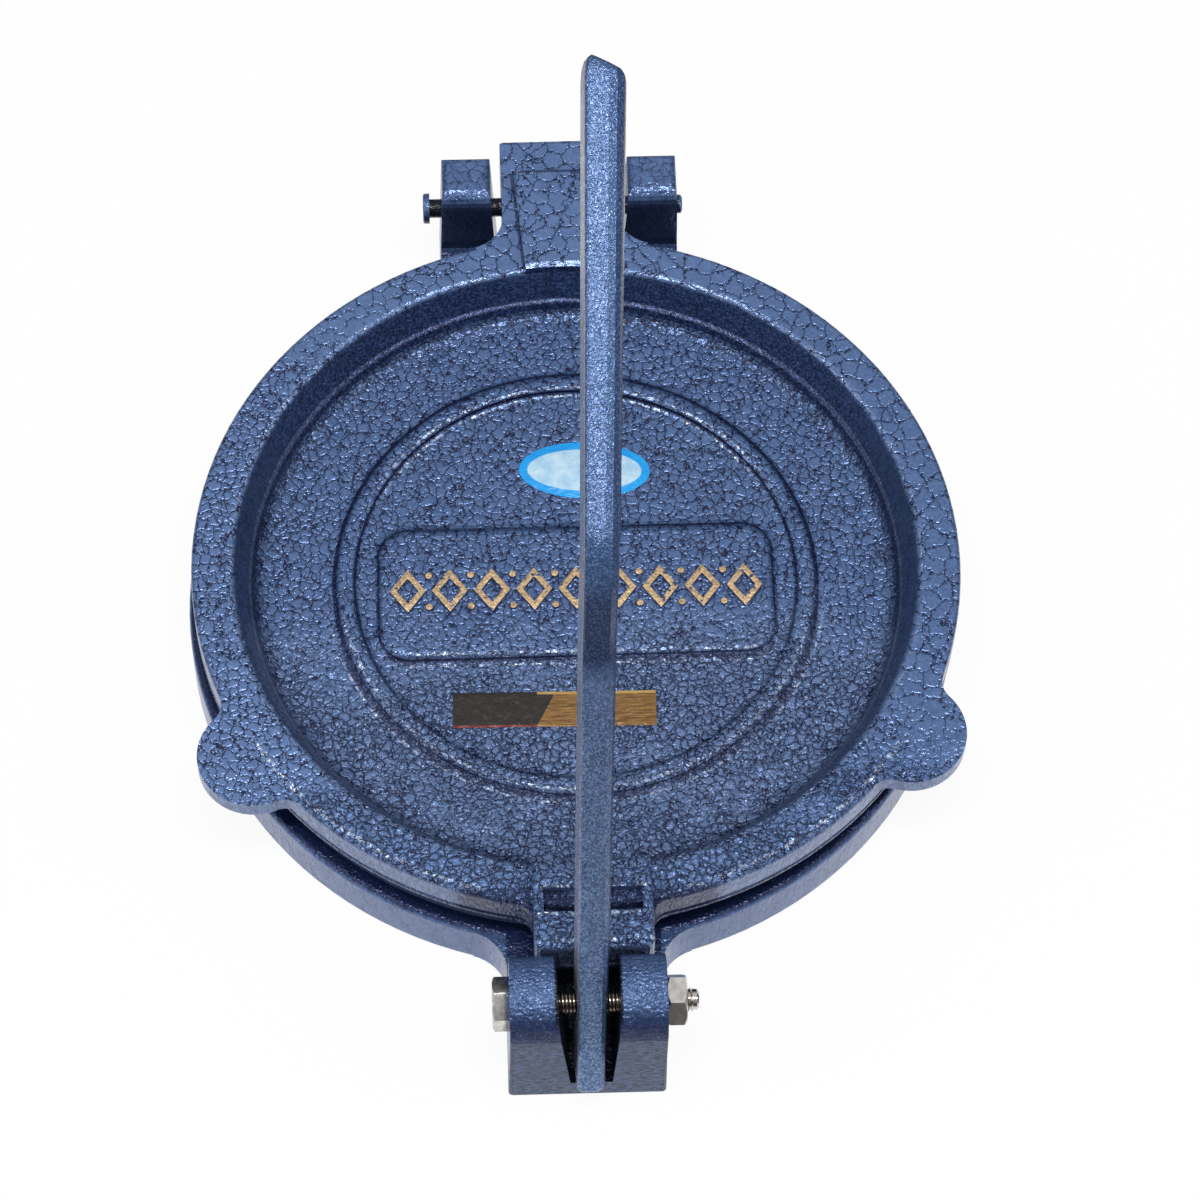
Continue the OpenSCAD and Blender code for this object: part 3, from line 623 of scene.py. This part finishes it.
def sticker_film(name, colour_at, roughness, metallic):
    """A sticker's film, which shows the paint's bumps under it. colour_at gives its colour."""
    made = bpy.data.materials.new(name)
    wire = blank(made)
    place = wire.node("TexCoord", {}, {}, "Object").vector("MULTIPLY", (1000, 1000, 1000))
    lumps = place.noise(0.45, 3.0) * 0.45 + place.noise(2.2, 2.0) * 0.05
    bump = wire.node("Bump", {}, {"Height": lumps, "Strength": 1.0, "Distance": 0.001})
    finish = {
        "Base Color": colour_at(wire, place),
        "Metallic": metallic,
        "Roughness": place.noise(0.8).step(0.2, 0.8) * 0.12 + roughness,
        "Normal": bump,
    }
    wire.node("OutputMaterial", {}, {"Surface": wire.node("BsdfPrincipled", {}, finish)})
    return made


OVAL_AT = (4.5, 34.0, PAN_FLOOR_MM + LABEL_MM / 2)
OVAL_HALF = (17.7, 8.8)
OVAL_TURN = math.radians(-2.4)
OVAL_BORDER = 2.3

deselect()
bpy.ops.mesh.primitive_cylinder_add(
    vertices=96, radius=1, depth=LABEL_MM / 1000, location=metres(*OVAL_AT),
    rotation=(0, 0, OVAL_TURN), scale=(*metres(*OVAL_HALF), 1))
oval = bpy.context.object
oval.name = "oval_label"
keep_place(oval)
edge_round(oval, LABEL_EDGE_MM)
shade(oval)


def oval_colour(wire, place):
    local = {"Vector": place.vector("SUBTRACT", OVAL_AT), "Rotation": (0, 0, -OVAL_TURN)}
    turned = wire.node("Mapping", {"vector_type": "POINT"}, local)
    inner = [half - OVAL_BORDER for half in OVAL_HALF]
    round_off = turned.vector("DIVIDE", (*inner, 1e6)).vector("LENGTH", out="Value")
    haze = place.noise(0.25).step(0.2, 0.8)
    pale = blend(wire, haze, srgb(150, 194, 228), srgb(196, 224, 238))
    border = blend(wire, haze, srgb(8, 146, 226), srgb(24, 164, 240))
    return blend(wire, round_off.step(0.985, 1.015), pale, border)


oval.data.materials.append(sticker_film("oval_film", oval_colour, 0.22, 0.0))
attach(oval, "lid")

STRIP_AT = (-5.7, -38.6, PAN_FLOOR_MM + LABEL_MM / 2)
STRIP_SIZE = (53.4, 10.3)
STRIP_TURN = math.radians(-0.5)

deselect()
bpy.ops.mesh.primitive_cube_add(
    size=1, location=metres(*STRIP_AT), rotation=(0, 0, STRIP_TURN),
    scale=(*metres(*STRIP_SIZE), LABEL_MM / 1000))
strip = bpy.context.object
strip.name = "strip_label"
keep_place(strip)
bpy.ops.object.mode_set(mode="EDIT")
bpy.ops.mesh.select_all(action="SELECT")
bpy.ops.mesh.subdivide(number_cuts=6)
bpy.ops.object.mode_set(mode="OBJECT")
edge_round(strip, LABEL_EDGE_MM)
shade(strip)


def strip_colour(wire, place):
    """Black print left of a slanting edge, gold foil right of it, thin lines along both."""
    local = {"Vector": place.vector("SUBTRACT", STRIP_AT), "Rotation": (0, 0, -STRIP_TURN)}
    turned = wire.node("Mapping", {"vector_type": "POINT"}, local)
    across = turned.part("X")
    up = turned.part("Y")
    brushed = place.vector("MULTIPLY", (0.25, 3.0, 1.0)).noise(1.0, 4.0).step(0.3, 0.7)
    gold = blend(wire, brushed, srgb(92, 66, 34), srgb(152, 114, 62))
    black = blend(wire, place.noise(0.7, 3.0), srgb(26, 22, 20), srgb(52, 46, 44))
    slant = (across - up * 0.5 + 2.2).step(-0.12, 0.12)
    colour = blend(wire, slant, black, gold)
    top_line = up.step(4.35, 4.45) * across.step(-4.6, -4.4)
    foot_line = (0 - up).step(4.45, 4.55) * (1 - slant)
    colour = blend(wire, top_line, colour, srgb(190, 156, 92))
    return blend(wire, foot_line * 0.8, colour, srgb(120, 40, 34))


strip.data.materials.append(sticker_film("strip_film", strip_colour, 0.30, 0.25))
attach(strip, "lid")

# ---------------------------------------------------------------- name field ornament
# Where a maker would cast its name stands a plain row of open lozenges with beads between
# them, cast with the lid. Their tops are touched in with gold paint that has worn in places.

FIELD_TOP_MM = 24.4
ROW_MIDDLE = (1.1, -3.2)
LOZENGE_HALF = (4.9, 6.6)
LOZENGE_COUNT = 9
LOZENGE_PITCH = 11.2
STROKE_MM = 1.7
ORNAMENT_RISE = 0.9
BEAD_R = 1.1
BEAD_RISE = ORNAMENT_RISE * 0.8
BEAD_ACROSS = LOZENGE_HALF[1] * 0.72
SUNK_MM = 0.3
LOZENGE_EDGE_MM = 0.28
BEAD_EDGE_MM = 0.45


def gold_touched():
    made = bpy.data.materials.new("gold_touched")
    wire = blank(made)
    place = wire.node("TexCoord", {}, {}, "Object").vector("MULTIPLY", (1000, 1000, 1000))
    facing = wire.node("TexCoord", {}, {}, "Normal")
    top = facing.part("Z").step(0.55, 0.9)
    brushy = place.vector("MULTIPLY", (0.8, 1.6, 1)).noise(1.1, 4.0)
    gold = blend(wire, brushy.step(0.3, 0.7), srgb(168, 136, 98), srgb(220, 192, 150))
    wear_and_glints = place.noise(0.6, 4.0).step(0.33, 0.42) * place.noise(2.5, 3.0).step(0.28, 0.42)
    bare = blend(wire, place.noise(1.5), PAINT_DARK, INWARD_NAVY)
    height = place.noise(1.2, 3.0) * 0.35
    bump = wire.node("Bump", {}, {"Height": height, "Strength": 1.0, "Distance": 0.001})
    finish = {
        "Base Color": blend(wire, top * wear_and_glints, bare, gold),
        "Metallic": 0.25,
        "Roughness": 0.42 - wear_and_glints * 0.06,
        "Normal": bump,
    }
    wire.node("OutputMaterial", {}, {"Surface": wire.node("BsdfPrincipled", {}, finish)})
    return made


deselect()
bpy.ops.mesh.primitive_cylinder_add(
    vertices=4, radius=1, depth=(ORNAMENT_RISE + SUNK_MM) / 1000,
    location=metres(*ROW_MIDDLE, FIELD_TOP_MM + (ORNAMENT_RISE - SUNK_MM) / 2),
    scale=(*metres(*LOZENGE_HALF), 1))
lozenge = bpy.context.object
keep_place(lozenge)
bpy.ops.object.mode_set(mode="EDIT")
bpy.ops.mesh.select_mode(type="FACE")
bpy.ops.mesh.select_all(action="DESELECT")
bpy.ops.object.mode_set(mode="OBJECT")
for face in lozenge.data.polygons:
    face.select = abs(face.normal.z) > 0.9
bpy.ops.object.mode_set(mode="EDIT")
bpy.ops.mesh.inset(thickness=STROKE_MM / 1000, use_individual=True)
bpy.ops.mesh.bridge_edge_loops()
bpy.ops.object.mode_set(mode="OBJECT")
edge_round(lozenge, LOZENGE_EDGE_MM)

deselect()
bpy.ops.mesh.primitive_cylinder_add(
    vertices=20, radius=BEAD_R / 1000, depth=(BEAD_RISE + SUNK_MM) / 1000,
    location=metres(ROW_MIDDLE[0] + LOZENGE_PITCH / 2, ROW_MIDDLE[1] + BEAD_ACROSS,
                    FIELD_TOP_MM + (BEAD_RISE - SUNK_MM) / 2))
bead = bpy.context.object
keep_place(bead)
edge_round(bead, BEAD_EDGE_MM, steps=3)

row = []
for number in range(LOZENGE_COUNT):
    along = (number - (LOZENGE_COUNT - 1) / 2) * LOZENGE_PITCH
    shapes = [(lozenge, (along, 0, 0))]
    if number < LOZENGE_COUNT - 1:
        shapes.append((bead, (along, 0, 0)))
        shapes.append((bead, (along, -2 * BEAD_ACROSS, 0)))
    for shape, moved in shapes:
        copy = shape.copy()
        copy.data = shape.data.copy()
        copy.location = metres(*moved)
        bpy.context.collection.objects.link(copy)
        row.append(copy)
bpy.data.objects.remove(lozenge)
bpy.data.objects.remove(bead)
deselect()
for copy in row:
    copy.select_set(True)
bpy.context.view_layer.objects.active = row[0]
bpy.ops.object.transform_apply(location=True, rotation=False, scale=False)
bpy.ops.object.join()
ornament = bpy.context.object
ornament.name = "field_ornament"
shade(ornament)
ornament.data.materials.append(gold_touched())
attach(ornament, "lid")

# ---------------------------------------------------------------- lever bolt
# A zinc-plated steel bolt, pushed through both ears from the left. It is threaded all the
# way, and its hexagonal head has its corners turned off.

BOLT_Y = -126.0
BOLT_Z = 31.8
HEAD_X = (-24.05, -19.75)
SHANK_END_X = 27.85
HEX_CORNER_R = 6.93
HEX_FACE_R = 5.9
CHAMFER_MM = 0.55
THREAD_ROOT_R = 2.62
THREAD_CREST_R = 3.15
THREAD_PITCH = 0.907
THREAD_START_X = -17.0
RIDGE_HALF = (0.48, 0.41)
TIP_MM = 0.5
TIP_SHARE = 0.8
THREAD_END_MM = 0.9
HEAD_EDGE_MM = 0.12
AXIS = (0, BOLT_Y, BOLT_Z)


def round_bar(sides, radius, x0, x1):
    """A bar along X from x0 to x1 in mm, on the bolt's axis."""
    deselect()
    bpy.ops.mesh.primitive_cylinder_add(
        vertices=sides, radius=radius / 1000, depth=(x1 - x0) / 1000,
        location=metres((x0 + x1) / 2, BOLT_Y, BOLT_Z), rotation=(0, math.radians(90), 0))
    bar = bpy.context.object
    keep_place(bar)
    return bar


def taper_end(bar, direction, length, share):
    """Carries the bar's end cap on by length in mm, and shrinks it to that share."""
    for face in bar.data.polygons:
        face.select = face.normal.x * direction > 0.9
    bpy.ops.object.mode_set(mode="EDIT")
    bpy.ops.mesh.select_mode(type="FACE")
    bpy.ops.mesh.extrude_region_move(
        TRANSFORM_OT_translate={"value": (direction * length / 1000, 0, 0)})
    bpy.ops.transform.resize(value=(1, share, share), center_override=metres(*AXIS))
    bpy.ops.object.mode_set(mode="OBJECT")


def unselected(bar):
    bpy.ops.object.mode_set(mode="EDIT")
    bpy.ops.mesh.select_all(action="DESELECT")
    bpy.ops.object.mode_set(mode="OBJECT")
    return bar


head = round_bar(6, HEX_CORNER_R, *HEAD_X)
bpy.ops.object.mode_set(mode="EDIT")
bpy.ops.mesh.select_all(action="SELECT")
bpy.ops.transform.rotate(value=math.radians(30), orient_axis="X", center_override=metres(*AXIS))
bpy.ops.object.mode_set(mode="OBJECT")
turned = unselected(round_bar(72, HEX_CORNER_R, HEAD_X[0] + CHAMFER_MM, HEAD_X[1]))
taper_end(turned, -1, CHAMFER_MM, HEX_FACE_R / HEX_CORNER_R)
cut = head.modifiers.new("corners", "BOOLEAN")
cut.operation = "INTERSECT"
cut.solver = "EXACT"
cut.object = turned
bpy.context.view_layer.objects.active = head
bpy.ops.object.modifier_apply(modifier="corners")
bpy.data.objects.remove(turned)
edge_round(head, HEAD_EDGE_MM, angle=25)

core = unselected(round_bar(40, THREAD_ROOT_R, HEAD_X[1] - 1, SHANK_END_X - TIP_MM))
taper_end(core, 1, TIP_MM, TIP_SHARE)

deselect()
bpy.ops.mesh.primitive_circle_add(vertices=3, radius=0.001, location=metres(*AXIS))
thread = bpy.context.object
ridge_middle_r = THREAD_CREST_R - RIDGE_HALF[1]
bpy.ops.object.mode_set(mode="EDIT")
bpy.ops.mesh.select_all(action="SELECT")
bpy.ops.transform.resize(value=(*RIDGE_HALF, 1), center_override=metres(*AXIS))
bpy.ops.transform.translate(value=metres(THREAD_START_X, ridge_middle_r, 0))
bpy.ops.object.mode_set(mode="OBJECT")
turns = int((SHANK_END_X - THREAD_END_MM - THREAD_START_X) / THREAD_PITCH)
wind = thread.modifiers.new("wind", "SCREW")
wind.axis = "X"
wind.angle = math.radians(360)
wind.screw_offset = THREAD_PITCH / 1000
wind.iterations = turns
wind.steps = 20
wind.render_steps = 20
wind.use_merge_vertices = False
bpy.ops.object.modifier_apply(modifier="wind")
keep_place(thread)
bpy.ops.object.mode_set(mode="EDIT")
bpy.ops.mesh.select_all(action="SELECT")
bpy.ops.mesh.fill_holes(sides=3)
bpy.ops.mesh.select_all(action="SELECT")
bpy.ops.mesh.normals_make_consistent(inside=False)
bpy.ops.object.mode_set(mode="OBJECT")

deselect()
for part in (head, core, thread):
    part.select_set(True)
bpy.context.view_layer.objects.active = head
bpy.ops.object.join()
bolt = bpy.context.object
bolt.name = "threaded_bolt"
shade(bolt, 30)


def plated(name, dark_inside):
    """Zinc plating: bright, with fine rolling marks. dark_inside is 1 on the bolt, which is darker and
    rougher within the clevis and rougher on its head, and 0 on the nut."""
    made = bpy.data.materials.new(name)
    wire = blank(made)
    place = wire.node("TexCoord", {}, {}, "Object").vector("MULTIPLY", (1000, 1000, 1000))
    marks = place.vector("MULTIPLY", (6.0, 0.8, 0.8)).noise(1.0, 3.0)
    smudge = place.noise(0.5, 3.0)
    steel = blend(wire, smudge.step(0.3, 0.7), srgb(198, 193, 188), srgb(226, 223, 220))
    inside = 1 - place.part("X").size().step(17.5, 19.0)
    at_head = 1 - place.part("X").step(-25.0, -19.0)
    between_ears_dark = blend(wire, marks, srgb(120, 112, 106), srgb(186, 178, 170))
    colour = blend(wire, inside * dark_inside, steel, between_ears_dark)
    height = marks * 0.02 + smudge * 0.05
    bump = wire.node("Bump", {}, {"Height": height, "Strength": 1.0, "Distance": 0.001})
    finish = {
        "Base Color": colour,
        "Metallic": 1.0,
        "Roughness": smudge * 0.12 + (inside * 0.08 + at_head * 0.22) * dark_inside + 0.08,
        "Normal": bump,
    }
    wire.node("OutputMaterial", {}, {"Surface": wire.node("BsdfPrincipled", {}, finish)})
    return made


bolt.data.materials.append(plated("bolt_plating", 1.0))
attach(bolt, "base")
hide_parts("lever_bolt")

# ---------------------------------------------------------------- lever nut
# A plain hexagonal nut of zinc-plated steel, screwed onto the bolt against the right ear.
# It keeps the bolt in the clevis without squeezing the ears together.

dress("lever_nut", plated("nut_plating", 0.0))

# ---------------------------------------------------------------- lever casting
# The hand lever, a bent bar cast by itself in the same paint, wider at its back than at its
# front so that it left its mould. It turns on the bolt, and its heel swings in the slot.

LEVER_DARK = srgb(66, 91, 136)
LEVER_LIGHT = srgb(118, 145, 190)
# Painted shade on the riser, over its own level streaks.
RISER_SHADE_DARK = srgb(16, 30, 66)
RISER_SHADE_LIGHT = srgb(38, 56, 98)
# Painted shade on the grip.
GRIP_SHADE_BLUE = srgb(46, 78, 126)
# Painted glints on the lever.
GLINT_PALE = srgb(160, 186, 220)
FLAKE_DIM = srgb(38, 58, 104)
# Painted shade on the right-facing sides.
RIGHT_SIDE_SHADE_BLUE = srgb(26, 50, 106)
# Painted light on the left-facing sides.
LEFT_SIDE_LIT_PALE = srgb(176, 182, 202)


def on_riser(at):
    """The short steep part between the lever's two bends."""
    return at["z"].step(130, 139) * (1 - at["z"].step(158, 166))


def lever_touches(at, paint, height):
    """Painted light and shade: the left sides paler as lit, the right sides darker as shaded, the
    riser's front dark and the grip darker as painted shade, and painted glints on the arm.
    """
    wire = at["wire"]
    # Painted shade: the riser's front dark, over its own fine level streaks.
    streaks = at["place"].vector("MULTIPLY", (0.5, 0.5, 3.0)).noise(1.0, 3.0)
    dark = blend(wire, streaks, RISER_SHADE_DARK, RISER_SHADE_LIGHT)
    paint = blend(wire, on_riser(at) * 0.9, paint, dark)
    # Painted shade: the grip darker than the arm.
    on_grip = at["z"].step(150, 172)
    paint = blend(wire, on_grip * 0.8, paint, GRIP_SHADE_BLUE)
    on_arm = 1 - at["z"].step(120, 140)
    # Painted glints as pale flecks, most on the arm; the darker flecks are the paint's own.
    glint_and_fleck = at["place"].noise(1.9, 2.0)
    pale = glint_and_fleck.step(0.50, 0.62) * (on_arm * 0.35 + on_grip * 0.15 + 0.15)
    paint = blend(wire, pale, paint, GLINT_PALE)
    dim = (1 - glint_and_fleck).step(0.52, 0.64) * (on_arm * 0.4 + 0.1)
    paint = blend(wire, dim, paint, FLAKE_DIM)
    # Painted shade on the right-facing sides, painted light on the left-facing ones.
    right = at["facing"].part("X").step(0.55, 0.90)
    paint = blend(wire, right * 0.75, paint, RIGHT_SIDE_SHADE_BLUE)
    left = (0 - at["facing"].part("X")).step(0.75, 0.95)
    return blend(wire, left * 0.9, paint, LEFT_SIDE_LIT_PALE), height


lever_zones = ((1.3, 0.3, 0.05, 0.20, None), (1.3, 0.05, 0.02, 0.06, on_riser))
lever_paints = (LEVER_DARK, LEVER_LIGHT)
dress("lever", hammered("lever_paint", (3, 5, 2), lever_zones, lever_touches,
                        walls=0.0, paints=lever_paints, grains=2.2))
